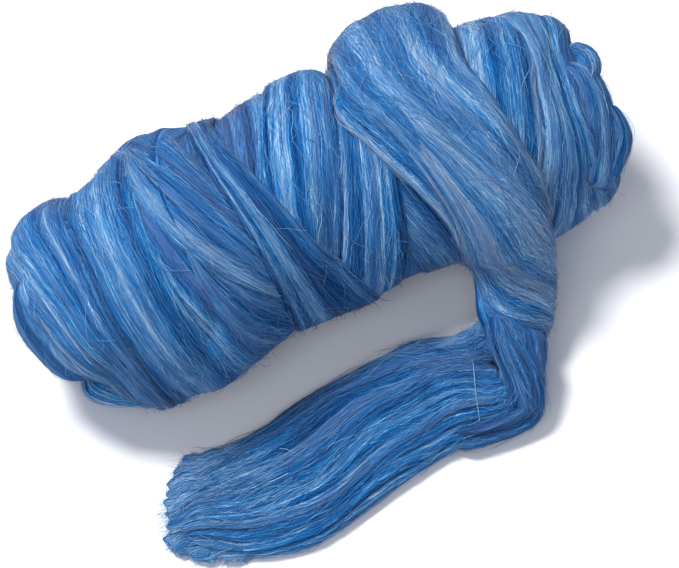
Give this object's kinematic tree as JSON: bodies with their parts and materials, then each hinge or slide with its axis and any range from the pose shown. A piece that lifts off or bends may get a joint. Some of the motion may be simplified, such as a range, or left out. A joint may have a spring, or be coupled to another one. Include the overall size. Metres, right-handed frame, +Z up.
{
  "type": "wool roving roll",
  "caption": "Soft roll of combed wool roving in blended blues, wound in overlapping crossing wraps, with a loose end that comes over the roll, drops and turns along the surface in front.",
  "frame": {"origin": "on the surface under the middle of the roll, at the flat spot it rests on", "axes": "+X along the roll towards the end the loose end lies nearer, -Y to the side where the loose end lies on the surface, +Z up"},
  "size_m": [0.2559, 0.185, 0.1034],
  "materials": {
    "wound_wool": "combed wool fibres in deep, clear, pale and lavender blues, matt with a soft sheen along the fibres",
    "loose_wool": "combed wool fibres in clear and pale blues with thin lavender streaks, matt and fluffy"
  },
  "bodies": {
    "root": {"wound_roll": "wound_wool", "loose_end": "loose_wool"}
  },
  "joints": []
}
